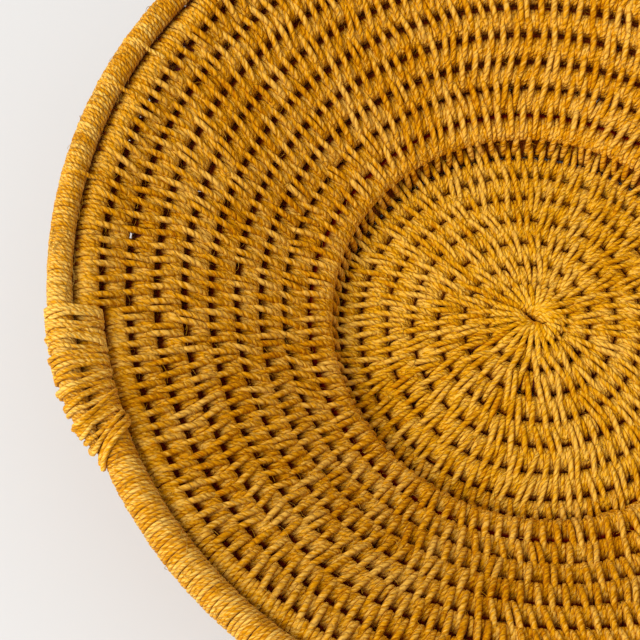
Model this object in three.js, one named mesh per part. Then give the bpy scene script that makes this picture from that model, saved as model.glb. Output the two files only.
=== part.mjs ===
// Coiled sisal basket: a shallow bowl sewn from one long bundle of fibre.
// The bundle is wound as a flat spiral for the base, climbs on top of its own last base round,
// and then flares outward as the wall. Two-ply sisal yarn is wrapped round it and sewn through the
// round before, one sewn sleeve for each round. The last round is the close-bound rim, whose
// tapered end is lashed down and closed with a slanting double stitch.
// Millimetres, +Z up, standing on Z = 0, with the middle of its bounding box on the Z axis.

import * as THREE from 'three';

// Driving dimensions: millimetres, degrees, and places counted in rounds from the middle
const baseCoilPitch = 7.0;        // centre to centre of neighbouring rounds on the base
const wallCoilPitch = 7.55;       // the same up the wall, where the bundle is a little fatter
const coilGap = 0.35;             // clearance between the yarn of two neighbouring rounds
const yarnThickness = 1.15;       // two-ply yarn lying once round the bundle
const bundleClearance = 0.3;      // between the bundle and the yarn round it
const sleeveJointGap = 0.3;       // between the end faces of two sewn sleeves
const standFlatShare = 0.1;       // share of the coil's thickness pressed flat where it stands
const startBearing = 101.2;       // where the coil starts, anticlockwise from +X seen from above
const eyeRadius = 0.5;            // hole left at the very middle
const startHeightShare = 0.62;    // height of the thin start of the coil, as a share of full height
const bundleStartPlace = 0.5;     // where the bundle begins inside the first round
const sleeveJointPlace = 0.25;    // part of a round past which each sleeve ends
const roundCount = 19;            // rounds of coil up to the end of the rim
const tailLength = 0.03;          // rounds that the tapered end runs past the last joint
const tailTipShare = 0.5;         // thickness of the tapered end at its tip, as a share
const stepPlace = 8.22;           // where the coil climbs on top of the round before it
const stepRun = 0.18;             // part of a round that the climb takes
const baseEdgeAngle = 12;         // lift of the last base round
const stepAngle = 82;             // the stacked round stands almost upright on it
const footAngle = 24.5;           // slope of the wall just above the step
const lowerWallAngle = 37.7;
const middleWallAngle = 32.7;
const upperWallAngle = 27.1;
const topWallAngle = 38.0;
const rimAngle = 36.0;
const rimStartThickness = 8.25;   // the rim starts fatter than the wall's rounds
const rimEndThickness = 6.1;      // and thins towards the tapered end
const rimSwell = 0.05;            // part of a round in which the coil swells to the rim
const stitchClearance = 0.3;      // between a closing stitch and the coil under it
const stitchSweep = 5.0;          // degrees of the rim that the slanting stitch runs along
const stitchFrom = 150;           // degrees round the rim's section where it comes out
const stitchTo = -40;             // and where it goes in again on the outer side
const coarseSteps = 12;           // steps round a turn near the middle
const fineSteps = 24;             // steps round a turn further out
const coarseTurns = 4;            // rounds that are small enough for the coarse steps

// Faces across a coil: eight outside, six for the bundle and the bore that holds it
const sleeveSides = 8;
const boreSides = 6;
const faceHalfAngle = Math.PI / sleeveSides;

const yarnBaseColour = '#cf9a3c';
const yarnWallColour = '#b97f24';
const yarnRimColour = '#d09a3a';
const bundleColour = '#8a6226';

const radians = (degrees) => degrees * Math.PI / 180;
const mix = (a, b, share) => a + (b - a) * share;
const smooth = (x) => {
  const c = Math.min(Math.max(x, 0), 1);
  return c * c * (3 - 2 * c);
};

// Places along the wall where its slope is set, from the step to the rim
const rimStartPlace = roundCount - 1 + sleeveJointPlace;
const rimEndPlace = rimStartPlace + 1;
const coilEndPlace = rimEndPlace + tailLength;
const wallSlopes = [
  [stepPlace + 1.1, footAngle],
  [stepPlace + 3.3, lowerWallAngle],
  [stepPlace + 5.8, middleWallAngle],
  [rimStartPlace - 1.75, upperWallAngle],
  [rimStartPlace - 0.75, topWallAngle],
  [rimEndPlace - 0.25, rimAngle],
];

function wallAngle(place) {
  if (place <= wallSlopes[0][0]) return wallSlopes[0][1];
  for (let i = 1; i < wallSlopes.length; i += 1) {
    const [from, a] = wallSlopes[i - 1];
    const [to, b] = wallSlopes[i];
    if (place <= to) return mix(a, b, (place - from) / (to - from));
  }
  return wallSlopes[wallSlopes.length - 1][1];
}

// Direction from one round to the next in the profile, at the joint between them
function linkAngle(place) {
  const edge = baseEdgeAngle * smooth((place - (stepPlace - 1.3)) / 0.6);
  const climbing = smooth((place - (stepPlace - stepRun / 2)) / stepRun);
  const climbed = smooth((place - (stepPlace + 1 - stepRun / 2)) / stepRun);
  const low = mix(edge, stepAngle, climbing);
  return radians(mix(low, wallAngle(place), climbed));
}

// Distance from one sewn round to the next at the joint between them
function sewnLink(place) {
  return mix(baseCoilPitch, wallCoilPitch, smooth((place - (stepPlace - 0.2)) / 0.6));
}

// How much thicker the rim is than a round of the wall
function rimExtra(place) {
  const thickness = mix(rimStartThickness, rimEndThickness, place - rimStartPlace);
  const swollen = smooth((place - rimStartPlace) / rimSwell);
  return (thickness - (wallCoilPitch - coilGap)) * swollen;
}

// Distance from any round to the next: the rim's extra thickness moves it out by half of it
function linkLength(place) {
  return sewnLink(place) + rimExtra(place + 0.5) / 2;
}

// Half the thickness of the coil across the profile: a gap narrower than its shorter link
function halfThickness(place) {
  const sewn = Math.min(sewnLink(place - 0.5), sewnLink(place + 0.5)) - coilGap;
  return (sewn + rimExtra(place)) / 2;
}

const fullHalf = halfThickness(1);
const fullCorner = fullHalf / Math.cos(faceHalfAngle);
const standHeight = fullCorner * (1 - 2 * standFlatShare);

// The first round starts thin, with its outer side against the full round that follows it
function firstRound(place) {
  const outer = (place + 0.5) * baseCoilPitch - coilGap / 2;
  const inner = eyeRadius + (baseCoilPitch / 2 + coilGap / 2 - eyeRadius) * place * place;
  const half = (outer - inner) / 2;
  const height = fullHalf * mix(startHeightShare, 1, smooth(place));
  return { radius: (outer + inner) / 2, z: standHeight * height / fullHalf, half, height };
}

// Centre and half sizes of the coil at a place
function coilAt(place) {
  if (place < 1) return firstRound(place);
  let radius = (place % 1 + 1) * baseCoilPitch;
  let z = standHeight;
  for (let joint = place % 1 + 1.5; joint < place; joint += 1) {
    radius += linkLength(joint) * Math.cos(linkAngle(joint));
    z += linkLength(joint) * Math.sin(linkAngle(joint));
  }
  const half = halfThickness(place);
  return { radius, z, half, height: half };
}

// The tapered end lies against the round below it as it thins
function tailAt(place) {
  const below = coilAt(place - 1);
  const share = mix(1, tailTipShare, smooth((place - rimEndPlace) / tailLength));
  const half = halfThickness(place) * share;
  const reach = below.half + coilGap + half;
  const angle = linkAngle(place - 0.5);
  return {
    radius: below.radius + reach * Math.cos(angle),
    z: below.z + reach * Math.sin(angle),
    half,
    height: half,
  };
}

// Corner directions of a section: faces square to the neighbours on both sides, the rest shared
// out evenly over the top and under the bottom
function cornerAngles(place, sides) {
  const out = linkAngle(place + 0.5);
  const back = linkAngle(place - 0.5) + Math.PI;
  const half = sides === sleeveSides ? faceHalfAngle : 0;
  const between = sides / 2 - (half > 0 ? 1 : 0);
  const angles = [];
  const addArc = (from, to) => {
    for (let i = 0; i < between; i += 1) angles.push(mix(from, to, i / between));
  };
  if (half > 0) angles.push(out - half);
  addArc(out + half, back - half);
  if (half > 0) angles.push(back - half);
  addArc(back + half, out - half + 2 * Math.PI);
  return angles;
}

// Bearing of a place along the coil: a whole round comes back to the same bearing
function bearing(place) {
  return 2 * Math.PI * place + radians(startBearing);
}

// A ring of corners in the upright plane through the axis, at a place along the coil
function section(place, coil, sides, cornerHalf, cornerHeight) {
  const turn = bearing(place);
  return cornerAngles(place, sides).map((angle) => {
    const radius = coil.radius + cornerHalf * Math.cos(angle);
    const z = Math.max(coil.z + cornerHeight * Math.sin(angle), 0);
    return new THREE.Vector3(radius * Math.cos(turn), radius * Math.sin(turn), z);
  });
}

function sleeveSection(place, coil) {
  const corner = 1 / Math.cos(faceHalfAngle);
  return section(place, coil, sleeveSides, coil.half * corner, coil.height * corner);
}

// The bore leaves one thickness of yarn, and the bundle keeps its clearance inside the bore
function boreSection(place, coil, inset) {
  const corner = 1 / Math.cos(faceHalfAngle);
  const across = coil.half * corner - yarnThickness - inset;
  const upright = coil.height * corner - yarnThickness - inset;
  return section(place, coil, boreSides, across, upright);
}

// Places of the rings from one place to another, on the same spokes in every round
function placesBetween(from, to, extraSteps = 1) {
  const places = [from];
  let step = 1 / coarseSteps;
  for (let spoke = 1; spoke / coarseSteps < coarseTurns; spoke += 1) {
    const place = spoke / coarseSteps;
    if (place > from + step / 4 && place < to - step / 4) places.push(place);
  }
  step = 1 / (fineSteps * extraSteps);
  for (let spoke = coarseTurns * fineSteps * extraSteps; spoke * step < to; spoke += 1) {
    const place = spoke * step;
    if (place > from + step / 4 && place < to - step / 4) places.push(place);
  }
  places.push(to);
  return places;
}

// Closed body from rings of corners along the coil, with an optional bore inside it
class CoilBody {
  constructor() {
    this.positions = [];
    this.indices = [];
  }

  addRing(corners) {
    const first = this.positions.length / 3;
    corners.forEach((corner) => this.positions.push(corner.x, corner.y, corner.z));
    return corners.map((corner, i) => first + i);
  }

  addTriangle(a, b, c, flipped) {
    if (flipped) this.indices.push(a, c, b);
    else this.indices.push(a, b, c);
  }

  addWall(ring, next, inward) {
    ring.forEach((a, i) => {
      const j = (i + 1) % ring.length;
      this.addTriangle(a, next[i], next[j], inward);
      this.addTriangle(a, next[j], ring[j], inward);
    });
  }

  addWalls(rings, inward) {
    for (let i = 1; i < rings.length; i += 1) this.addWall(rings[i - 1], rings[i], inward);
  }

  addCap(ring, atEnd) {
    for (let i = 1; i + 1 < ring.length; i += 1) {
      this.addTriangle(ring[0], ring[i], ring[i + 1], atEnd);
    }
  }

  // End face between an outer ring and the mouth of the bore, zipped corner by corner
  addAnnulus(outer, bore, atEnd) {
    let i = 0;
    let j = 0;
    while (i < outer.length || j < bore.length) {
      const outerNext = (i + 1) / outer.length <= (j + 1) / bore.length && i < outer.length;
      const a = outer[i % outer.length];
      const b = bore[j % bore.length];
      if (outerNext) {
        this.addTriangle(a, outer[(i + 1) % outer.length], b, atEnd);
        i += 1;
      } else {
        this.addTriangle(a, bore[(j + 1) % bore.length], b, atEnd);
        j += 1;
      }
    }
  }

  geometry() {
    const geometry = new THREE.BufferGeometry();
    geometry.setAttribute('position', new THREE.Float32BufferAttribute(this.positions, 3));
    geometry.setIndex(this.indices);
    geometry.computeVertexNormals();
    return geometry;
  }
}

// Sewn sleeve of yarn from one place to another. The bore stops short inside a blind end.
function sleeveGeometry(from, to, { boreFrom = from, boreTo = to, shape = coilAt, finer = 1 } = {}) {
  const body = new CoilBody();
  const outer = placesBetween(from, to, finer).map((place) => (
    body.addRing(sleeveSection(place, shape(place)))));
  const bore = placesBetween(boreFrom, boreTo, finer).map((place) => (
    body.addRing(boreSection(place, shape(place), 0))));
  body.addWalls(outer, false);
  body.addWalls(bore, true);
  if (boreFrom === from) body.addAnnulus(outer[0], bore[0], false);
  else {
    body.addCap(outer[0], false);
    body.addCap(bore[0], true);
  }
  if (boreTo === to) body.addAnnulus(outer[outer.length - 1], bore[bore.length - 1], true);
  else {
    body.addCap(outer[outer.length - 1], true);
    body.addCap(bore[bore.length - 1], false);
  }
  return body.geometry();
}

// Half of a joint gap, turned from millimetres into part of a round at that place
function jointInset(place, gap) {
  return gap / 2 / (2 * Math.PI * coilAt(place).radius);
}

const tailShape = (place) => (place < rimEndPlace ? coilAt(place) : tailAt(place));
const tailBoreEnd = rimEndPlace + tailLength * 0.6;
const bundleEndPlace = tailBoreEnd - jointInset(rimEndPlace, 2 * bundleClearance);
const blindBoreStart = bundleStartPlace - jointInset(bundleStartPlace, 2 * bundleClearance);
const bundleInset = bundleClearance / Math.cos(Math.PI / boreSides);

// The bundle: one unbroken spiral from the middle to the tapered end
function bundlePlaces() {
  const tail = placesBetween(rimEndPlace, bundleEndPlace, 4).slice(1);
  return [...placesBetween(bundleStartPlace, rimEndPlace), ...tail];
}

function bundleGeometry() {
  const body = new CoilBody();
  const rings = bundlePlaces().map((place) => (
    body.addRing(boreSection(place, tailShape(place), bundleInset))));
  body.addWalls(rings, false);
  body.addCap(rings[0], false);
  body.addCap(rings[rings.length - 1], true);
  return body.geometry();
}

// Least distance between two rounds of the bundle, measured on the corners of its rings
function leastBundleGap() {
  const rings = bundlePlaces().map((place) => (
    { place, corners: boreSection(place, tailShape(place), bundleInset) }));
  let least = Infinity;
  rings.forEach(({ place, corners }) => {
    rings.forEach((other) => {
      if (other.place - place < 0.7 || other.place - place > 1.3) return;
      corners.forEach((a) => other.corners.forEach((b) => {
        least = Math.min(least, a.distanceTo(b));
      }));
    });
  });
  return least;
}

// The slanting stitch runs from the groove inside the rim, over the top, to its outer side,
// just past the tip of the tapered end
const stitchThickness = yarnThickness;
const rimRun = 2 * Math.PI * coilAt(coilEndPlace - 1).radius;
const stitchStart = coilEndPlace - 1 + 2 * stitchThickness / rimRun;

// A point beside the coil at a place, at an angle round its section
function besideCoil(place, over, clearance) {
  const coil = coilAt(place);
  const angle = over + linkAngle(place) / 3;
  const reach = coil.half / Math.cos(faceHalfAngle) + clearance;
  const radius = coil.radius + reach * Math.cos(angle);
  const turn = bearing(place);
  const z = coil.z + reach * Math.sin(angle);
  return new THREE.Vector3(radius * Math.cos(turn), radius * Math.sin(turn), z);
}

// The same beside the straight facet that runs from one spoke to the next
function besideFacet(place, over, clearance) {
  const spoke = Math.floor(place * fineSteps) / fineSteps;
  const share = (place - spoke) * fineSteps;
  const next = besideCoil(spoke + 1 / fineSteps, over, clearance);
  return besideCoil(spoke, over, clearance).lerp(next, share);
}

function stitchPath(offset) {
  const points = [];
  const steps = 12;
  const start = stitchStart + offset / rimRun;
  for (let i = 0; i <= steps; i += 1) {
    const share = i / steps;
    const over = radians(mix(stitchFrom, stitchTo, share));
    const place = start + share * stitchSweep / 360;
    points.push(besideFacet(place, over, stitchClearance + stitchThickness / 2));
  }
  return new THREE.CatmullRomCurve3(points);
}

function stitchGeometry(offset) {
  const round = new THREE.Shape();
  round.absarc(0, 0, stitchThickness / 2, 0, 2 * Math.PI, false);
  return new THREE.ExtrudeGeometry(round, {
    steps: 14, curveSegments: 4, bevelEnabled: false, extrudePath: stitchPath(offset),
  });
}

function matte(colour) {
  return new THREE.MeshStandardMaterial({ color: colour, roughness: 0.85, metalness: 0 });
}

const yarnOnBase = matte(yarnBaseColour);
const yarnOnWall = matte(yarnWallColour);
const yarnOnRim = matte(yarnRimColour);
const bareFibre = matte(bundleColour);

const basket = new THREE.Group();

function addPiece(name, geometry, material) {
  const mesh = new THREE.Mesh(geometry, material);
  mesh.name = name;
  basket.add(mesh);
}

addPiece('foundation_bundle', bundleGeometry(), bareFibre);

// One sleeve for each round, ending on the same spoke; the first also holds the thin start
for (let round = 1; round <= roundCount; round += 1) {
  const end = round + sleeveJointPlace;
  const to = end - jointInset(end, sleeveJointGap);
  const isRim = round === roundCount;
  if (round === 1) {
    addPiece('yarn_round_01', sleeveGeometry(0, to, { boreFrom: blindBoreStart }), yarnOnBase);
  } else {
    const from = end - 1 + jointInset(end - 1, sleeveJointGap);
    const name = isRim ? 'rim_binding' : `yarn_round_${String(round).padStart(2, '0')}`;
    const sewn = round < stepPlace ? yarnOnBase : yarnOnWall;
    addPiece(name, sleeveGeometry(from, to), isRim ? yarnOnRim : sewn);
  }
}

const tailFrom = rimEndPlace + jointInset(rimEndPlace, sleeveJointGap);
addPiece('coil_end_lashing', sleeveGeometry(tailFrom, coilEndPlace, {
  boreTo: tailBoreEnd, shape: tailShape, finer: 4,
}), yarnOnRim);

addPiece('closing_stitch_1', stitchGeometry(0), yarnOnRim);
addPiece('closing_stitch_2', stitchGeometry(stitchThickness + stitchClearance), yarnOnRim);

// One side of a spiral reaches further than the other, so the box is centred by its own middle
const box = new THREE.Box3().setFromObject(basket);
const middle = box.getCenter(new THREE.Vector3());
basket.position.set(-middle.x, -middle.y, -box.min.z);
basket.updateMatrixWorld(true);

console.log(`least gap of the bundle to itself ${leastBundleGap().toFixed(2)} mm`);
console.log(`spiral pole at ${(-middle.x).toFixed(3)}, ${(-middle.y).toFixed(3)} mm`);

export default basket;
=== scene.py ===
# Coiled sisal basket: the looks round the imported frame.
# One bundle of plant fibre lies in a spiral. Two-ply sisal yarn is wrapped round it, and every third
# turn of the yarn is a long stitch over the round before. Each turn of yarn is modelled here.

import math
import random

import bmesh
import bpy
from mathutils import Euler, Matrix, Vector, noise


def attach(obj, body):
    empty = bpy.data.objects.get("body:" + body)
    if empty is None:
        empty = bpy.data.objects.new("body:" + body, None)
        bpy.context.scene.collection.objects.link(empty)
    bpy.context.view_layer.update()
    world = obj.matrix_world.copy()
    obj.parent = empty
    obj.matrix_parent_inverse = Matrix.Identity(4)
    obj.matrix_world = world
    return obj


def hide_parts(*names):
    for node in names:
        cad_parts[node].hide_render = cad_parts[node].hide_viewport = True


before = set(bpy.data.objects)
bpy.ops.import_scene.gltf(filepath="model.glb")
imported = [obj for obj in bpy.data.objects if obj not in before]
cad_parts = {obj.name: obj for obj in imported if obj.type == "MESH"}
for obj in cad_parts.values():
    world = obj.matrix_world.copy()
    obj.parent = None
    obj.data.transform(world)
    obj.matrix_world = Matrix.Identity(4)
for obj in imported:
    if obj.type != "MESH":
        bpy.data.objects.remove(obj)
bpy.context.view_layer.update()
chance = random.Random(7)

# The coil: metres, degrees, and places counted in rounds from the middle, as in the frame
MM = 0.001
BASE_PITCH = 7.0 * MM
WALL_PITCH = 7.55 * MM
WALL_THICKNESS = 7.2 * MM
RIM_START_THICKNESS = 8.25 * MM
RIM_END_THICKNESS = 6.1 * MM
RIM_SWELL = 0.05
STAND_HEIGHT = 2.879 * MM
POLE = Vector((0.261, -0.956, 0)) * MM
START_BEARING = 101.2
BASE_ROUNDS = 8
SEWN_ROUNDS = 18
# Where in each round its own piece of sewn yarn ends and the next one starts
SEAM_PLACE = 0.25
RIM_START = SEWN_ROUNDS + SEAM_PLACE
RIM_END = RIM_START + 1
TAIL_LENGTH = 0.04
TAIL_TIP_SHARE = 0.15
COIL_END = RIM_END + TAIL_LENGTH
SEWING_END = RIM_START - 0.012
STEP_PLACE = 8.22
STEP_RUN = 0.18
STEP_ANGLE = 82
STEP_FOOT = (STEP_PLACE - 0.5, STEP_PLACE + 0.5)
STEP_CREST = (STEP_PLACE + 0.5, STEP_PLACE + 1.5)
BASE_EDGE_START = STEP_PLACE - 1.3
BASE_EDGE_RUN = 0.6
BASE_EDGE_ANGLE = 12
PITCH_CHANGE_START = STEP_PLACE - 0.2
PITCH_CHANGE_RUN = 0.6
# Slope of the wall at some places
WALL_SLOPES = [
    (STEP_PLACE + 1.1, 24.5),
    (STEP_PLACE + 3.3, 37.7),
    (STEP_PLACE + 5.8, 32.7),
    (RIM_START - 1.75, 27.1),
    (RIM_START - 0.75, 38.0),
    (RIM_END - 0.25, 36.0),
]

# The middle: the first turns pass through a slit, and the inner rounds lie a little off the pole
SLIT_HALF_LENGTH = 4.2 * MM
SLIT_HALF_WIDTH = 1.0 * MM
SLIT_BEARING = 144
SLIT_CLOSES = 0.8
SLIT_CLOSING_RUN = 0.2
# The coil starts thin there, at this share of its height
EYE_RISE = 0.62
EYE_DRIFT = Vector((0, 1.96, 0)) * MM
EYE_DRIFT_FADE = 21 * MM
EYE_STITCH_START = 0.5
EYE_STITCH_END = 1.56
EYE_STITCH_STEP = 13.5 / 360
EYE_STITCH_SWAY = 0.05
EYE_YARN_SWELL = 1.15
# Route of a stitch out of the slit: share of the way to its outer end, share of the base's height
EYE_ROUTE = (
    (0, 0.3), (0.04, 0.75), (0.16, 0.98), (0.45, 1.05), (0.72, 1.06), (0.92, 0.97), (1, 0.5), (0.9, 0.1),
    (0.5, 0.0), (0.1, 0.1),
)

# The yarn, in shares of the distance from one round to the next
YARN_HALF = 0.088
WRAP_HALF = 0.094
STITCH_SPACING = 0.49
WRAP_SPACING = 0.145
LEAST_WRAPS = 2
# How much of the way a stitch is drawn to the middle between two others, and its limits in spacings
STITCH_PULL = 0.5
LONGEST_PULL = 0.2
STITCH_SCATTER = 0.06
# How far the strands lean along the coil, how much that changes slowly and how much at random
STITCH_LEAN = -0.04
LEAN_WANDER = 0.4
LEAN_SPREAD = 0.05
WANDER_RATE = 20
# What one strand has to itself: spread of its lean, smallest and largest size
WRAP_UNEVEN = (0.05, 0.97, 1.02)
STITCH_UNEVEN = (0.02, 0.975, 1.025)
# Least and most distance from one turn to the next, in shares of their even spacing
HAND_SPACING = (0.9, 1.1)
# Below this height the yarn is pressed flat, where the basket stands on it
PRESS_HEIGHT = 1.5 * MM
# Twists of the two plies in a strand of each kind
STITCH_TWISTS = 6
WRAP_TWISTS = 4
EYE_TWISTS = 4
RIM_TURN_TWISTS = 5
LASHING_TWISTS = 9
RIM_TIE_TWISTS = 5
CLOSING_TWISTS = 4

# Spots where the wraps have drawn apart and the light shows through: row of holes, bearing in degrees
LOOSE_SPOTS = ((17, 146.1), (17, 149.7), (17, 155.0), (17, 157.2), (17, 161.0), (14, 163.8), (16, 173.6))
LOOSE_REACH = 0.8 * MM
LOOSE_SQUEEZE = 0.86
LOOSE_SHIFT = 0.063
ROW_OFFSET = 0.219

# The fibre bundle, its radius as a share of the coil's thickness
BUNDLE_RADIUS = 0.35
BUNDLE_START = 0.3
BUNDLE_STEP = 4 * MM

# The rim's yarn, and the lashings over the tapered end: holes stay open between groups of them
RIM_YARN_HALF = 0.6 * MM
RIM_YARN_SPACING = 1.05 * MM
RIM_TURN_STEPS = 14
RIM_TURN_SIZES = (0.97, 1.02)
RIM_LEAN = -0.15
RIM_LEAN_WANDER = 0.3
RIM_LEAN_SPREAD = 0.035
LASHING_START = 19.2378
LASHING_HOLES = 5
LASHINGS_PER_HOLE = 6
LASHING_HOLE_STEP = 3.3 / 360
LASHING_HOLE_HALF = 1.0 * MM
LASHING_SCATTER = 0.15
LASHING_REACH = 0.5
# Tilt of the first and the last lashing, how late the change starts, and the spread
LASHING_TILTS = (-0.05, 0.42)
LASHING_TILT_LATE = 0.3
LASHING_TILT_SPREAD = 0.09
# The one of each group that lies across the others
CROSSING_LASHING = 4
CROSSING_TILT = 0.25
CROSSING_REACH = 1.3
# Angle round the coil before or the tapered end itself, share of the push off a hole, and of the reach
BEFORE_TURNS = ((255, 0, 1), (215, 0, 0), (180, 0, -1), (150, 0, -0.6), (120, 0.3, 0.6), (92, 0.8, 1))
OWN_TURNS = ((88, 0.8, 1), (60, 0.3, 1), (25, 0, 1), (-15, 0, 1), (-50, 0, 1), (-80, 0, 1))
# The closing stitch: start and sweep along the coil, and the angles round it from its start to its end
CLOSING_YARN_HALF = 0.7 * MM
CLOSING_STITCH_START = RIM_START + 0.0265
CLOSING_STITCH_SWEEP = 4.9 / 360
CLOSING_STITCH_ARC = (160, -25)
CLOSING_STITCH_STEPS = 10
# Ties that sew the rim to the round before, each across the groove between them
RIM_TIE_FIRST = 18.43
RIM_TIE_STEP = 0.031
RIM_TIE_SPACING = (0.7, 1.3)
RIM_TIES_SEEN = (19.136, 19.154, 19.189)
# Route of a tie: rounds before, angle round that coil, reach off it in half thicknesses of the yarn
RIM_TIE_ROUTE = (
    (1, 85, -1), (1, 65, 0.1), (1, 45, 0.6), (0, 135, 0.7), (0, 105, 0.5), (0, 70, 0.4), (0, 35, 0),
    (0, 0, -0.6), (0, -30, -1.2),
)
# How far along the coil each spot of it lies beyond the one before, in rounds
RIM_TIE_LEAN = 0.35 / 1000

# Loose fibres: even spacing and greatest height on the sewn rounds and on the rim
SEWN_STRAYS = (4 * MM, 1.0 * MM)
RIM_STRAYS = (2 * MM, 0.3 * MM)
# Least and most of what each one has by chance: shares, degrees over the coil, and millimetres
STRAY_SPACING = (0.2, 1.8)
STRAY_OVER = (15, 165)
STRAY_STEP = (0.4, 1.1)
STRAY_LIFT = (0.2, 1)
STRAY_BEND = (0.3, 1.2)
STRAY_HALF = (0.07, 0.11)
STRAY_CURL = 0.3
STRAY_TAPER = 0.5
STRAY_STEPS = 6
STRAY_CLEARANCE = 0.15 * MM

# Half the route of a short wrap, x, z and thickness: the coils touch below the middle, where the yarn is
# pressed flat and wide, with a deep groove between them above
WALL_WRAP = [
    (0.09, 0.37, 1), (0.20, 0.32, 1), (0.28, 0.22, 1), (0.335, 0.08, 1), (0.40, -0.06, 1.15),
    (0.447, -0.18, 1.3), (0.35, -0.31, 1.15), (0.14, -0.375, 1),
]
# The same where the coils lie closer, on the base and beyond the crest of the step
CLOSE_WRAP = [
    (0.10, 0.37, 1), (0.23, 0.32, 1), (0.33, 0.22, 1), (0.385, 0.10, 1), (0.42, -0.04, 1.1),
    (0.437, -0.18, 1.2), (0.35, -0.31, 1.1), (0.14, -0.375, 1),
]
CLOSE_ROUNDS = (1, 2, 3, 4, 5, 6, 7, 10)
# The same at the foot of the step, where both neighbours touch the coil above its middle
FOOT_WRAP = [
    (0.08, 0.34, 1), (0.20, 0.31, 1), (0.305, 0.265, 1.1), (0.385, 0.18, 1.2), (0.43, 0.03, 1.1),
    (0.41, -0.14, 1), (0.31, -0.29, 1), (0.14, -0.375, 1),
]
# How far the outer side of the base's last round but one draws in from the wide groove at the foot
EDGE_SQUEEZE = 0.78
# Route of a long stitch: x from the coil before (0) to its own (1), z up out of the bowl, thickness
LONG_STITCH = [
    (-0.30, 0.20, 0.85), (-0.20, 0.37, 0.95), (-0.02, 0.45, 1.1), (0.22, 0.48, 1.3), (0.5, 0.475, 1.38),
    (0.78, 0.445, 1.3), (1.02, 0.395, 1.1), (1.24, 0.30, 1), (1.36, 0.06, 1), (1.35, -0.20, 1.1),
    (1.10, -0.38, 1), (0.78, -0.445, 1.1), (0.22, -0.48, 1.1), (-0.18, -0.38, 1),
]

# The grooves between coils, in the same units: the level where they touch, and how far their painted shade
# fades
WALL_GROOVE_OUTSIDE = (0.06, 0.2)
WALL_GROOVE_INSIDE = (-0.06, 0.2)
EDGE_GROOVE = (0.19, 0.3)
CLOSE_GROOVE = (0, 0.22)
RIM_GROOVE = (-0.08, 0.09)
GROOVE_FLOOR = 0.04
# Where a strand's painted shade starts to set in or to fade, and over what distance it does
OFF_MIDDLE = (0.12, 0.15)
FOOT_HIDDEN = (-0.2, 0.2)
CREST_OPEN_OUTSIDE = (-0.02, 0.2)
CREST_OPEN_INSIDE = (-0.2, 0.2)
OUT_OF_FOOT = (-0.1, 0.35)
INNER_SIDE = (0.62, 0.4)
OUT_OF_SLIT = (0.4, 0.4)
# The deepest painted shade at the foot, on a stitch that rises from it, and between two turns side by side
FOOT_PAINTED_SHADE = 0.85
RISING_PAINTED_SHADE = 0.45
SIDE_PAINTED_SHADE = 0.28


def smooth(x):
    c = min(max(x, 0), 1)
    return c * c * (3 - 2 * c)


def eased(x, start, run):
    """0 up to the start, 1 beyond the run, and a smooth rise between."""
    return smooth((x - start) / run)


def mix(a, b, share):
    return a + (b - a) * share


def wander(place, seed):
    """A slow change along the coil, from -1 to 1, and another one for another seed."""
    return noise.noise(Vector((place * WANDER_RATE, seed, 0.5)))


# Shape of the coil
def wall_angle(place):
    if place <= WALL_SLOPES[0][0]:
        return WALL_SLOPES[0][1]
    for (start, a), (end, b) in zip(WALL_SLOPES, WALL_SLOPES[1:]):
        if place <= end:
            return mix(a, b, (place - start) / (end - start))
    return WALL_SLOPES[-1][1]


def link_angle(place):
    """Direction from one round to the next in the profile, at the joint between them."""
    edge = BASE_EDGE_ANGLE * eased(place, BASE_EDGE_START, BASE_EDGE_RUN)
    climbing = eased(place, STEP_PLACE - STEP_RUN / 2, STEP_RUN)
    climbed = eased(place, STEP_PLACE + 1 - STEP_RUN / 2, STEP_RUN)
    low = mix(edge, STEP_ANGLE, climbing)
    return math.radians(mix(low, wall_angle(place), climbed))


def rim_extra(place):
    """How much thicker the coil is than on the wall: the rim starts fat and thins towards its end."""
    thickness = mix(RIM_START_THICKNESS, RIM_END_THICKNESS, place - RIM_START)
    return (thickness - WALL_THICKNESS) * eased(place, RIM_START, RIM_SWELL)


def link_length(place):
    sewn = mix(BASE_PITCH, WALL_PITCH, eased(place, PITCH_CHANGE_START, PITCH_CHANGE_RUN))
    return sewn + rim_extra(place + 0.5) / 2


def bearing(place):
    return 2 * math.pi * place + math.radians(START_BEARING)


def slit_reach(turn):
    """How far the slit in the middle reaches at a bearing."""
    across = turn - math.radians(SLIT_BEARING)
    return 1 / math.hypot(math.cos(across) / SLIT_HALF_LENGTH, math.sin(across) / SLIT_HALF_WIDTH)


def coil_profile(place):
    """Radius, height, half width and half height of the coil at a place."""
    if place < 1:
        outer = (place + 0.5) * BASE_PITCH
        closed = eased(place, SLIT_CLOSES, SLIT_CLOSING_RUN)
        inner = mix(slit_reach(bearing(place)), BASE_PITCH / 2, closed)
        rise = mix(EYE_RISE, 1, smooth(place))
        return (outer + inner) / 2, STAND_HEIGHT * rise, (outer - inner) / 2, BASE_PITCH / 2 * rise
    radius = (place % 1 + 1) * BASE_PITCH
    height = STAND_HEIGHT
    joint = place % 1 + 1.5
    while joint < place:
        radius += link_length(joint) * math.cos(link_angle(joint))
        height += link_length(joint) * math.sin(link_angle(joint))
        joint += 1
    half = (link_length(min(place, RIM_START - 0.5)) + rim_extra(place)) / 2
    if place > RIM_END:
        thinned = half * (1 - TAIL_TIP_SHARE) * ((place - RIM_END) / TAIL_LENGTH) ** 3
        half -= thinned
        radius -= thinned * math.cos(link_angle(place - 0.5))
        height -= thinned * math.sin(link_angle(place - 0.5))
    return radius, height, half, half


def half_width(place):
    return coil_profile(place)[2]


def in_rounds(length, place):
    """A length along the coil at a place, counted in rounds."""
    return length / (2 * math.pi * coil_profile(place)[0])


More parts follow.
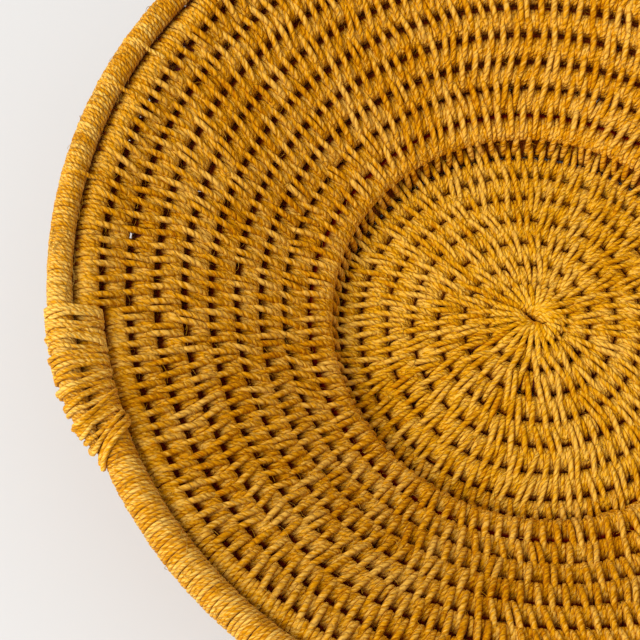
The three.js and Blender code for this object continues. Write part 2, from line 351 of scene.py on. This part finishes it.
def on_spoke(turn, radius, height):
    """The point at a radius and height on the spoke at a bearing."""
    drift = EYE_DRIFT * math.exp(-radius / EYE_DRIFT_FADE)
    return POLE + drift + Vector((radius * math.cos(turn), radius * math.sin(turn), height))


def coil_point(place):
    radius, height = coil_profile(place)[:2]
    return on_spoke(bearing(place), radius, height)


def frame_of(out, along, up, at):
    """Matrix with x, y and z along three directions, at a point."""
    matrix = Matrix((out, along, up)).transposed().to_4x4()
    matrix.translation = at
    return matrix


def along_coil(place):
    turn = bearing(place)
    return Vector((-math.sin(turn), math.cos(turn), 0))


def link_frame(outer_place):
    """Frame of a coil and the coil before it: x from the one before to it, their distance as the unit."""
    inner = coil_point(outer_place - 1)
    link = coil_point(outer_place) - inner
    out = link.normalized()
    along = along_coil(outer_place)
    return frame_of(out, along, out.cross(along), inner) @ Matrix.Scale(link.length, 4)


def coil_frame(place):
    """Frame of the coil's own section at a place, in metres."""
    turn = bearing(place)
    tilt = (link_angle(place - 0.5) + link_angle(min(place + 0.5, RIM_END - 0.5))) / 2
    along = along_coil(place)
    out = Vector((math.cos(turn) * math.cos(tilt), math.sin(turn) * math.cos(tilt), math.sin(tilt)))
    return frame_of(out, along, out.cross(along), coil_point(place))


def wrap_frame(place):
    """Frame of a turn of yarn round the coil at a place: one unit is the coil's own thickness."""
    half, half_height = coil_profile(place)[2:]
    return coil_frame(place) @ Matrix.Diagonal((2 * half, 2 * half_height, 2 * half_height, 1))


def on_coil(place, over, reach):
    """A spot round the coil's section at a place: the angle from the way outward, and how far off it is."""
    distance = half_width(place) + reach
    return coil_frame(place) @ Vector((distance * math.cos(over), 0, distance * math.sin(over)))


# Painted shade in the grooves, from 0 to 1
def near_contact(x, z, level, fade):
    """Painted shade on a sewn strand: how deep a spot lies in the groove where two coils touch at a level.
    """
    return (1 - eased(abs(z - level), GROOVE_FLOOR, fade)) * eased(abs(x), *OFF_MIDDLE)


def in_groove(x, z):
    """The same on the wall: the next round rises above the outer side and shades it further up."""
    return near_contact(x, z, *(WALL_GROOVE_OUTSIDE if x > 0 else WALL_GROOVE_INSIDE))


def in_edge_groove(x, z):
    """The same on the base's last round but one: its outer side faces the wide groove at the foot."""
    return near_contact(x, z, *EDGE_GROOVE) if x > 0 else in_groove(x, z)


def in_close_groove(x, z):
    return near_contact(x, z, *CLOSE_GROOVE)


def in_foot_groove(x, z):
    """The same at the foot of the step, where the coil lies hidden all round its top."""
    return FOOT_PAINTED_SHADE * eased(z, *FOOT_HIDDEN)


def in_crest_groove(x, z):
    """The same on the round that stands on the foot, where the lower part of both its sides is hidden."""
    return 1 - eased(z, *(CREST_OPEN_OUTSIDE if x > 0 else CREST_OPEN_INSIDE))


def by_the_rim(x, z):
    """The same on the last round of the wall, where no long stitch hides the groove on its outer side."""
    return near_contact(x, z, *RIM_GROOVE) if x > 0 else in_groove(x, z)


def rising_from_foot(x, z):
    """The same for a long stitch that starts at the foot of the step."""
    return RISING_PAINTED_SHADE * (1 - eased(x, *OUT_OF_FOOT)) if z > 0 else in_groove(x, z)


def on_inner_side(x, z):
    """The same for a strand of the rim, of unit radius: only its inner side meets another coil."""
    return eased(-x, *INNER_SIDE)


def under_top(x, z):
    """The same for a strand that dives into the slit in the middle, with the base's height as unit."""
    return 1 - eased(z, *OUT_OF_SLIT)


def in_the_open(x, z):
    return 0.0


# Strands of yarn
def rod(route, radius, closed, roundness):
    """A round rod along a route of x, y, z and, where it isn't 1, thickness."""
    curve = bpy.data.curves.new("rod", "CURVE")
    curve.dimensions = "3D"
    curve.bevel_depth = radius
    curve.bevel_resolution = roundness
    curve.fill_mode = "FULL"
    curve.use_fill_caps = not closed
    spline = curve.splines.new("POLY")
    spline.points.add(len(route) - 1)
    spline.use_cyclic_u = closed
    for point, (x, y, z, *thickness) in zip(spline.points, route):
        point.co = (x, y, z, 1)
        point.radius = thickness[0] if thickness else 1
    holder = bpy.data.objects.new("rod", curve)
    mesh = bpy.data.meshes.new_from_object(holder)
    bpy.data.objects.remove(holder)
    bpy.data.curves.remove(curve)
    return mesh


def yarn_strand(route, half, twists, closed=True, painted_shade_depth=in_the_open, unit=1.0, roundness=1):
    """A length of yarn, its UV scaled to the number of twists, and each spot's painted shade, by how deep it
    lies in a groove. On a flat turn, the sides that meet the turns beside it get a little painted shade too."""
    mesh = rod(route, half, closed, roundness)
    mesh.attributes.new("shade", "FLOAT", "POINT")
    flat = all(spot[1] == 0 for spot in route)
    # painted shade of each spot: deep in a groove, and on a flat turn's sides
    painted_shade_depths = []
    for vert in mesh.vertices:
        beside = SIDE_PAINTED_SHADE * (vert.co.y / half) ** 2 if flat else 0
        painted_shade_depths.append(max(beside, painted_shade_depth(vert.co.x / unit, vert.co.z / unit)))
    mesh.attributes.new("painted_shade_depth", "FLOAT", "POINT").data.foreach_set("value", painted_shade_depths)
    for corner in mesh.uv_layers[0].data:
        corner.uv = (corner.uv[0] * twists, corner.uv[1])
    return mesh


def ring_route(radius, steps):
    turns = [2 * math.pi * (i + 0.5) / steps for i in range(steps)]
    return [(radius * math.cos(turn), 0, radius * math.sin(turn)) for turn in turns]


def across(route):
    """A route in the x and z plane, from x, z and thickness."""
    return [(x, 0, z, thickness) for x, z, thickness in route]


def mirrored(half, squeeze=1.0):
    """A closed route from its right half, which may be squeezed towards the middle."""
    right = [(squeeze * x, z, thickness) for x, z, thickness in half]
    return across(right + [(-x, z, thickness) for x, z, thickness in reversed(half)])


long_stitch = yarn_strand(across(LONG_STITCH), YARN_HALF, STITCH_TWISTS, painted_shade_depth=in_groove)
foot_stitch = yarn_strand(across(LONG_STITCH), YARN_HALF, STITCH_TWISTS, painted_shade_depth=rising_from_foot)
wall_wrap = yarn_strand(mirrored(WALL_WRAP), WRAP_HALF, WRAP_TWISTS, painted_shade_depth=in_groove)
close_wrap = yarn_strand(mirrored(CLOSE_WRAP), WRAP_HALF, WRAP_TWISTS, painted_shade_depth=in_close_groove)
foot_wrap = yarn_strand(mirrored(FOOT_WRAP), WRAP_HALF, WRAP_TWISTS, painted_shade_depth=in_foot_groove)
crest_wrap = yarn_strand(mirrored(WALL_WRAP), WRAP_HALF, WRAP_TWISTS, painted_shade_depth=in_crest_groove)
edge_wrap = yarn_strand(mirrored(WALL_WRAP, EDGE_SQUEEZE), WRAP_HALF, WRAP_TWISTS, painted_shade_depth=in_edge_groove)
last_wrap = yarn_strand(mirrored(WALL_WRAP), WRAP_HALF, WRAP_TWISTS, painted_shade_depth=by_the_rim)


def lay(bm, strand, matrix):
    """Adds one strand to a round's mesh, with a shade of its own."""
    turn = strand.copy()
    turn.transform(matrix)
    shade = chance.random()
    turn.attributes["shade"].data.foreach_set("value", [shade] * len(turn.vertices))
    bm.from_mesh(turn)
    bpy.data.meshes.remove(turn)


def lay_once(bm, strand, matrix=Matrix.Identity(4)):
    """The same for a strand that is made for one spot."""
    lay(bm, strand, matrix)
    bpy.data.meshes.remove(strand)


def lean(amount, size=1.0, about=0.0):
    """Shear along the coil as the strand goes outward from a point, with a small change of size."""
    matrix = Matrix.Scale(size, 4)
    matrix[1][0] = amount
    matrix[1][3] = -amount * about
    return matrix


def strand_lean(place):
    return STITCH_LEAN + LEAN_WANDER * wander(place, seed=3.0)


def uneven(spread, smallest, largest):
    """The small lean and the size that one strand has to itself."""
    return lean(chance.gauss(0, spread), chance.uniform(smallest, largest))


def stitch_places():
    """Places of the long stitches: evenly spaced, each drawn towards the middle between two stitches
    of the round before."""
    places = []
    even = EYE_STITCH_END
    before = 0
    while even < SEWING_END:
        step = in_rounds(STITCH_SPACING * link_length(even), even)
        place = even
        while before + 1 < len(places) and places[before + 1] < even - 1:
            before += 1
        if before + 1 < len(places) and places[before] <= even - 1:
            middle = 1 + (places[before] + places[before + 1]) / 2
            place += min(max(STITCH_PULL * (middle - even), -LONGEST_PULL * step), LONGEST_PULL * step)
        places.append(place + chance.uniform(-STITCH_SCATTER, STITCH_SCATTER) * step)
        even += step
    return places


STITCHES = stitch_places()


def add_object(name, data):
    added = bpy.data.objects.new(name, data)
    bpy.context.scene.collection.objects.link(added)
    return added


def finish_piece(bm, name, material):
    """Presses the underside flat, and puts the piece in the scene with its material."""
    for vert in bm.verts:
        if vert.co.z < PRESS_HEIGHT:
            vert.co.z = PRESS_HEIGHT * math.exp(vert.co.z / PRESS_HEIGHT - 1)
    mesh = bpy.data.meshes.new(name)
    bm.to_mesh(mesh)
    bm.free()
    mesh.shade_smooth()
    mesh.materials.append(material)
    piece = add_object(name, mesh)
    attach(piece, "root")
    return piece


# Rounds of yarn
def eye_stitch(bm, place):
    """A strand from the slit in the middle over the first rounds."""
    turn = bearing(place)
    inner, outer = slit_reach(turn), (place + 0.5) * BASE_PITCH
    top = STAND_HEIGHT + 0.5 * BASE_PITCH
    sway = chance.uniform(-EYE_STITCH_SWAY, EYE_STITCH_SWAY)
    route = [on_spoke(turn + sway * (1 - share), mix(inner, outer, share), height * top)
             for share, height in EYE_ROUTE]
    half = EYE_YARN_SWELL * YARN_HALF * BASE_PITCH
    twists = round(EYE_TWISTS * (1 + place - EYE_STITCH_START))
    lay_once(bm, yarn_strand(route, half, twists, painted_shade_depth=under_top, unit=top))


def wrap_at(place):
    """The kind of short wrap at a place."""
    if STEP_FOOT[0] < place < STEP_FOOT[1]:
        return foot_wrap
    if STEP_CREST[0] < place < STEP_CREST[1]:
        return crest_wrap
    if STEP_FOOT[0] - 1 < place < STEP_FOOT[0]:
        return edge_wrap
    if place > RIM_START - 1:
        return last_wrap
    return close_wrap if math.floor(place + 1 - SEAM_PLACE) in CLOSE_ROUNDS else wall_wrap


def drawn_off(place):
    """How the wraps on both sides of a loose spot are drawn away from it: nothing elsewhere."""
    window = in_rounds(LOOSE_REACH, place)
    for row, degrees in LOOSE_SPOTS:
        # the two rounds that meet at a row of holes are half a round before and beyond it
        beyond = place - (row + ROW_OFFSET + degrees / 360)
        if abs(abs(beyond) - 0.5) < window:
            away = Matrix.Translation((math.copysign(LOOSE_SHIFT, beyond), 0, 0))
            return away @ Matrix.Diagonal((LOOSE_SQUEEZE, 1, 1, 1))
    return Matrix.Identity(4)


def short_wraps(bm, start, end, count):
    """Short wraps from one long stitch to the next, the first of them under the stitch itself. They
    lean about the coil's inner side."""
    for k in range(count + 1):
        at = mix(start, end, k / (count + 1))
        matrix = wrap_frame(at) @ drawn_off(at) @ lean(strand_lean(at), about=-0.5)
        lay(bm, wrap_at(at), matrix @ uneven(*WRAP_UNEVEN))


def eye_stitches(bm, start, end):
    place = EYE_STITCH_START
    while place < EYE_STITCH_END:
        if start <= place < end:
            eye_stitch(bm, place)
            if place >= 1:
                short_wraps(bm, place, place + EYE_STITCH_STEP, LEAST_WRAPS)
        place += EYE_STITCH_STEP * chance.uniform(*HAND_SPACING)


def long_stitches(bm, start, end):
    """The long stitches of a stretch, which lean about the joint of the two coils, and their wraps."""
    for place, following in zip(STITCHES, STITCHES[1:] + [RIM_START]):
        if start <= place < end:
            slope = strand_lean(place) + chance.gauss(0, LEAN_SPREAD)
            matrix = link_frame(place) @ lean(slope, about=0.5)
            stitch = foot_stitch if STEP_CREST[0] < place < STEP_CREST[1] else long_stitch
            lay(bm, stitch, matrix @ uneven(*STITCH_UNEVEN))
            wrap_step = in_rounds(WRAP_SPACING * link_length(place), place)
            short_wraps(bm, place, following, max(LEAST_WRAPS, round((following - place) / wrap_step) - 1))


def stray_fibre(bm, place, highest):
    """A fine loose fibre that stands off the yarn, bent at random."""
    half = half_width(place)
    over = math.radians(chance.uniform(*STRAY_OVER))
    heading = chance.uniform(0, 2 * math.pi)
    curl = chance.gauss(0, STRAY_CURL)
    step = chance.uniform(*STRAY_STEP) * MM
    lift = chance.uniform(*STRAY_LIFT) * highest
    shift = 0
    route = []
    for i in range(STRAY_STEPS + 1):
        reach = half + STRAY_CLEARANCE + lift * math.sin(math.pi * i / STRAY_STEPS)
        thickness = 1 - STRAY_TAPER * i / STRAY_STEPS
        route.append((reach * math.cos(over), shift, reach * math.sin(over), thickness))
        over += step * math.cos(heading) / half
        shift += step * math.sin(heading)
        heading += curl * chance.uniform(*STRAY_BEND)
    strand = yarn_strand(route, chance.uniform(*STRAY_HALF) * MM, 1, closed=False, roundness=0)
    lay_once(bm, strand, coil_frame(place))


def stray_fibres(bm, start, end, spacing, highest):
    place = start
    while place < end:
        stray_fibre(bm, place, highest)
        place += in_rounds(chance.uniform(*STRAY_SPACING) * spacing, place)


def sewn_round(number, material):
    """All the yarn of one round: its long stitches, the short wraps between them and loose fibres."""
    start = 0 if number == 1 else number - 1 + SEAM_PLACE
    end = number + SEAM_PLACE
    bm = bmesh.new()
    eye_stitches(bm, start, end)
    long_stitches(bm, start, end)
    stray_fibres(bm, max(start, 1), end, *SEWN_STRAYS)
    return finish_piece(bm, f"sewn_yarn_{number:02d}", material)


def rim_turn(bm, place):
    half = half_width(place)
    tilt = RIM_LEAN + RIM_LEAN_WANDER * wander(place, seed=5.0) + chance.gauss(0, RIM_LEAN_SPREAD)
    route = ring_route(half - RIM_YARN_HALF, RIM_TURN_STEPS)
    strand = yarn_strand(route, RIM_YARN_HALF, RIM_TURN_TWISTS, painted_shade_depth=on_inner_side, unit=half)
    lay_once(bm, strand, coil_frame(place) @ lean(tilt, chance.uniform(*RIM_TURN_SIZES)))


def end_lashing(bm, place, tilt, push, reach):
    """A turn of yarn round the tapered end of the coil and the round before it."""
    halves = []
    for rounds_before, turns in ((1, BEFORE_TURNS), (0, OWN_TURNS)):
        spots = []
        for degrees, pushed, reached in turns:
            over = math.radians(degrees)
            # from -1 on the far side of the round before to 1 on the far side of the tapered end
            from_joint = 0.5 - rounds_before + 0.5 * math.cos(over)
            sideways = tilt * from_joint * WALL_PITCH + pushed * push
            at = place + in_rounds(sideways, place)
            spots.append(on_coil(at - rounds_before, over, reached * reach))
        halves.append(spots)
    before, own = halves
    route = []
    for spots, following in ((before, own), (own, before)):
        route += spots
        route += [spots[-1].lerp(following[0], share) for share in (1 / 3, 2 / 3)]
    lay_once(bm, yarn_strand(route, RIM_YARN_HALF, LASHING_TWISTS))


def end_lashings(bm):
    count = LASHING_HOLES * LASHINGS_PER_HOLE
    for i in range(count):
        scattered = i + 0.5 + chance.gauss(0, LASHING_SCATTER)
        place = LASHING_START + scattered / LASHINGS_PER_HOLE * LASHING_HOLE_STEP
        off_hole = (i + 0.5) / LASHINGS_PER_HOLE % 1 * 2 - 1
        push = LASHING_HOLE_HALF * math.copysign(1 - abs(off_hole), off_hole)
        turned = smooth((1 + LASHING_TILT_LATE) * i / count - LASHING_TILT_LATE)
        tilt = mix(*LASHING_TILTS, turned) + chance.gauss(0, LASHING_TILT_SPREAD)
        reach = LASHING_REACH
        if i % LASHINGS_PER_HOLE == CROSSING_LASHING:
            tilt += CROSSING_TILT
            reach = CROSSING_REACH
        end_lashing(bm, place, tilt, push, reach * RIM_YARN_HALF)


def rim_tie(bm, place):
    """A stitch from the top of the round before across the groove and over the rim."""
    route = []
    for i, (rounds_before, degrees, reach) in enumerate(RIM_TIE_ROUTE):
        at = place + i * RIM_TIE_LEAN - rounds_before
        route.append(on_coil(at, math.radians(degrees), reach * RIM_YARN_HALF))
    lay_once(bm, yarn_strand(route, RIM_YARN_HALF, RIM_TIE_TWISTS, closed=False))


def rim_ties(bm):
    place = RIM_TIE_FIRST
    while place < RIM_TIES_SEEN[0] - RIM_TIE_STEP:
        rim_tie(bm, place)
        place += RIM_TIE_STEP * chance.uniform(*RIM_TIE_SPACING)
    for place in RIM_TIES_SEEN:
        rim_tie(bm, place)


def closing_stitch(bm, shift):
    """The slanting stitch that ends the sewing: from the groove inside the rim over to its outer side."""
    route = []
    for i in range(CLOSING_STITCH_STEPS + 1):
        share = i / CLOSING_STITCH_STEPS
        place = CLOSING_STITCH_START + shift + share * CLOSING_STITCH_SWEEP
        route.append(on_coil(place, math.radians(mix(*CLOSING_STITCH_ARC, share)), CLOSING_YARN_HALF))
    lay_once(bm, yarn_strand(route, CLOSING_YARN_HALF, CLOSING_TWISTS, closed=False))


def rim_round(material):
    """All the yarn of the rim: its turns, ties and lashings, and the closing stitch of two strands."""
    bm = bmesh.new()
    place = SEWING_END
    while place < COIL_END:
        rim_turn(bm, place)
        place += in_rounds(RIM_YARN_SPACING, place) * chance.uniform(*HAND_SPACING)
    rim_ties(bm)
    end_lashings(bm)
    closing_stitch(bm, 0)
    closing_stitch(bm, in_rounds(2 * CLOSING_YARN_HALF, RIM_START))
    stray_fibres(bm, RIM_START, COIL_END, *RIM_STRAYS)
    return finish_piece(bm, "rim_yarn", material)


def bundle(material):
    """The fibre bundle: a rod along the coil."""
    route = []
    place = BUNDLE_START
    while place < COIL_END:
        half, half_height = coil_profile(place)[2:]
        route.append((*coil_point(place), 2 * min(half, half_height)))
        place += in_rounds(BUNDLE_STEP, place)
    mesh = rod(route, BUNDLE_RADIUS, closed=False, roundness=3)
    bm = bmesh.new()
    bm.from_mesh(mesh)
    bpy.data.meshes.remove(mesh)
    return finish_piece(bm, "fibre_bundle", material)


# Materials
# Sizes of the yarn's patterns: the twist changes over 2 mm, and the dye lies in patches of about 14 mm
TWIST_CHANGE = 2 * MM
DYE_PATCH = 100 * MM / 7
# The single fibres are too fine to show, so they are drawn as streaks about 0.4 mm wide: streaks to a
# twist, streaks round the yarn, and a step that gives each strand streaks of its own
FIBRE_STREAKS = (3.0, 9.0, 60.0)
# How far the strands start apart in their twist, and how far the twist is off where it is uneven
TWIST_START = 7.0
TWIST_OFF = 0.7
# What makes the colour: a base, and shares of the patches, of the strand's own shade and of the streaks
COLOUR_BASE = 0.33
PATCH_SHARE = 0.25
STRAND_SHARE = 0.16
STREAK_SHARE = 0.7
# Where on that scale the deep, the middle and the pale colour lie
DEEP_AT = 0.6
MIDDLE_AT = 0.85
PALE_AT = 1.0
# How far up the plies the painted shade of the groove between them reaches, and height of the streaks beside
# that of the plies
PLY_GROOVE_SHADE = 0.7
STREAK_HEIGHT = 0.35


def linear(hex_colour):
    """sRGB hex to linear RGBA."""
    channels = [int(hex_colour[i:i + 2], 16) / 255 for i in (1, 3, 5)]
    return [c / 12.92 if c <= 0.04045 else ((c + 0.055) / 1.055) ** 2.4 for c in channels] + [1.0]


def add_node(tree, kind, settings=None, links=None):
    """Adds a node, sets its properties or sockets by name or number, and links its inputs."""
    node = tree.nodes.new(kind)
    for key, value in (settings or {}).items():
        if isinstance(key, str) and hasattr(node, key):
            setattr(node, key, value)
    for key, value in (settings or {}).items():
        if not (isinstance(key, str) and hasattr(node, key)):
            node.inputs[key].default_value = value
    for key, socket in (links or {}).items():
        tree.links.new(socket, node.inputs[key])
    return node


def sisal_yarn(name, deep, middle, pale, hidden, kept_under_ply_shade, relief, fuzz):
    """Two-ply sisal yarn, hand spun and dyed gold: two twisted plies of faintly glossy plant fibre, no two
    lengths quite alike in colour. The hidden colour is painted shade, in the ply grooves and where the coils
    meet."""
    material = bpy.data.materials.new(name)
    material.use_nodes = True
    tree = material.node_tree
    shader = tree.nodes["Principled BSDF"]
    uv = add_node(tree, "ShaderNodeUVMap", {"uv_map": "UVMap"})
    split = add_node(tree, "ShaderNodeSeparateXYZ", links={0: uv.outputs["UV"]})
    shade = add_node(tree, "ShaderNodeAttribute", {"attribute_name": "shade"})
    painted_shade_depth = add_node(tree, "ShaderNodeAttribute", {"attribute_name": "painted_shade_depth"})
    place = add_node(tree, "ShaderNodeTexCoord")
    # two plies lie round the yarn, the pattern turns once for each twist, and the twist is uneven
    change = add_node(tree, "ShaderNodeTexNoise", {"Scale": 1 / TWIST_CHANGE, "Detail": 1.0},
                      {"Vector": place.outputs["Object"]})
    ply = add_node(tree, "ShaderNodeMath", {"operation": "SUBTRACT"},
                   {0: split.outputs["Y"], 1: split.outputs["X"]})
    turned = add_node(tree, "ShaderNodeMath", {"operation": "MULTIPLY_ADD", 1: TWIST_START},
                      {0: shade.outputs["Fac"], 2: ply.outputs[0]})
    hand_spun = add_node(tree, "ShaderNodeMath", {"operation": "MULTIPLY_ADD", 1: TWIST_OFF},
                         {0: change.outputs["Fac"], 2: turned.outputs[0]})
    angle = add_node(tree, "ShaderNodeMath", {"operation": "MULTIPLY", 1: 2 * math.pi},
                     {0: hand_spun.outputs[0]})
    wave = add_node(tree, "ShaderNodeMath", {"operation": "SINE"}, {0: angle.outputs[0]})
    lobe = add_node(tree, "ShaderNodeMath", {"operation": "ABSOLUTE"}, {0: wave.outputs[0]})
    # fibres run along the plies
    fibre_at = add_node(tree, "ShaderNodeCombineXYZ", links={
        0: split.outputs["X"], 1: ply.outputs[0], 2: shade.outputs["Fac"]})
    fibre_scale = add_node(tree, "ShaderNodeVectorMath", {"operation": "MULTIPLY", 1: FIBRE_STREAKS},
                           {0: fibre_at.outputs[0]})
    fibre = add_node(tree, "ShaderNodeTexNoise", {"Scale": 1.0, "Detail": 2.0},
                     {"Vector": fibre_scale.outputs[0]})
    patch = add_node(tree, "ShaderNodeTexNoise", {"Scale": 1 / DYE_PATCH, "Detail": 2.0},
                     {"Vector": place.outputs["Object"]})
    patches = add_node(tree, "ShaderNodeMath", {"operation": "MULTIPLY_ADD", 1: PATCH_SHARE, 2: COLOUR_BASE},
                       {0: patch.outputs["Fac"]})
    tone = add_node(tree, "ShaderNodeMath", {"operation": "MULTIPLY_ADD", 1: STRAND_SHARE},
                    {0: shade.outputs["Fac"], 2: patches.outputs[0]})
    streaked = add_node(tree, "ShaderNodeMath", {"operation": "MULTIPLY_ADD", 1: STREAK_SHARE},
                        {0: fibre.outputs["Fac"], 2: tone.outputs[0]})
    colours = add_node(tree, "ShaderNodeValToRGB", links={0: streaked.outputs[0]})
    colours.color_ramp.elements[0].position = DEEP_AT
    colours.color_ramp.elements[0].color = linear(deep)
    colours.color_ramp.elements[1].position = PALE_AT
    colours.color_ramp.elements[1].color = linear(pale)
    colours.color_ramp.elements.new(MIDDLE_AT).color = linear(middle)
    # painted shade in the grooves between the plies: their colour goes towards the hidden colour, beside the
    # bump
    groove = add_node(tree, "ShaderNodeMapRange", {"From Max": PLY_GROOVE_SHADE, "To Min": kept_under_ply_shade},
                      {"Value": lobe.outputs[0]})
    twisted = add_node(tree, "ShaderNodeMix", {"data_type": "RGBA"}, {"Factor": groove.outputs["Result"]})
    twisted.inputs["A"].default_value = linear(hidden)
    tree.links.new(colours.outputs["Color"], twisted.inputs["B"])
    # painted shade: the colour is mixed towards the hidden colour where a spot lies deep in a groove
    colour = add_node(tree, "ShaderNodeMix", {"data_type": "RGBA"}, {"Factor": painted_shade_depth.outputs["Fac"]})
    colour.inputs["B"].default_value = linear(hidden)
    tree.links.new(twisted.outputs["Result"], colour.inputs["A"])
    tree.links.new(colour.outputs["Result"], shader.inputs["Base Color"])
    height = add_node(tree, "ShaderNodeMath", {"operation": "MULTIPLY_ADD", 1: STREAK_HEIGHT},
                      {0: fibre.outputs["Fac"], 2: lobe.outputs[0]})
    bump = add_node(tree, "ShaderNodeBump", {"Strength": 1.0, "Distance": relief},
                    {"Height": height.outputs[0]})
    tree.links.new(bump.outputs["Normal"], shader.inputs["Normal"])
    shader.inputs["Roughness"].default_value = 0.55
    shader.inputs["Specular IOR Level"].default_value = 0.07
    shader.inputs["Specular Tint"].default_value = linear("#F8DCAC")
    # short fibres stand off the yarn and catch the light along its edges
    shader.inputs["Sheen Weight"].default_value = fuzz
    shader.inputs["Sheen Roughness"].default_value = 0.5
    shader.inputs["Sheen Tint"].default_value = linear("#FFD080")
    return material


def matt(name, colour):
    """A rough surface of one even colour, with hardly any gloss."""
    material = bpy.data.materials.new(name)
    material.use_nodes = True
    shader = material.node_tree.nodes["Principled BSDF"]
    shader.inputs["Base Color"].default_value = linear(colour)
    shader.inputs["Roughness"].default_value = 0.9
    return material


# The wall's copy has darker, redder deep and hidden colours than the base's: painted shade, as the wall lies
# in more shadow than the base
YARN_BASE = sisal_yarn("sisal_yarn_base", "#A85400", "#DA9C04", "#ECB848", "#760E00",
                       kept_under_ply_shade=0.64, relief=0.3 * MM, fuzz=0.03)
YARN_WALL = sisal_yarn("sisal_yarn_wall", "#984000", "#DC9802", "#EEB84C", "#6A0800",
                       kept_under_ply_shade=0.62, relief=0.3 * MM, fuzz=0.03)
YARN_RIM = sisal_yarn("sisal_yarn_rim", "#9A5000", "#D89404", "#F0C25C", "#6A0800",
                      kept_under_ply_shade=0.64, relief=0.25 * MM, fuzz=0.2)
# Dry plant fibre, scraped and unspun: matt and of one even colour, since each fibre is so fine. Its dark
# red-brown, where it shows through the holes, is painted shade
BUNDLE_IN_PAINTED_SHADE = matt("bundle_fibre_painted_shade", "#641800")

for number in range(1, SEWN_ROUNDS + 1):
    on_base = number <= BASE_ROUNDS
    piece = sewn_round(number, YARN_BASE if on_base else YARN_WALL)
    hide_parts(f"yarn_round_{number:02d}")
rim = rim_round(YARN_RIM)
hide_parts("rim_binding", "coil_end_lashing", "closing_stitch_1", "closing_stitch_2")
core = bundle(BUNDLE_IN_PAINTED_SHADE)
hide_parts("foundation_bundle")


# Floor, light and camera
def paper_floor():
    """A wide sheet of matt, nearly white paper, which takes the basket's soft shadow."""
    bm = bmesh.new()
    bmesh.ops.create_grid(bm, x_segments=1, y_segments=1, size=30.0)
    mesh = bpy.data.meshes.new("floor")
    bm.to_mesh(mesh)
    bm.free()
    mesh.materials.append(matt("pale_paper", "#CAC9C8"))
    add_object("floor", mesh)


paper_floor()

world = bpy.data.worlds.new("studio")
bpy.context.scene.world = world
world.use_nodes = True
world.node_tree.nodes["Background"].inputs["Color"].default_value = linear("#F4F3F1")
world.node_tree.nodes["Background"].inputs["Strength"].default_value = 0.76

lamp_data = bpy.data.lights.new("window", "AREA")
lamp_data.size = 1.6
lamp_data.energy = 60
lamp = add_object("window", lamp_data)
lamp.location = (-1.4, -0.62, 1.7)
lamp.rotation_euler = (-lamp.location).to_track_quat("-Z", "Y").to_euler()

camera_data = bpy.data.cameras.new("camera")
camera_data.sensor_width = 36
camera_data.lens = 85.56
camera = add_object("camera", camera_data)
camera.location = Vector((-57.524, -156.177, 388.64)) * MM
camera.rotation_euler = Euler([math.radians(a) for a in (22.24, 0.22, -0.34)])
bpy.context.scene.camera = camera
bpy.context.scene.view_settings.view_transform = "Standard"
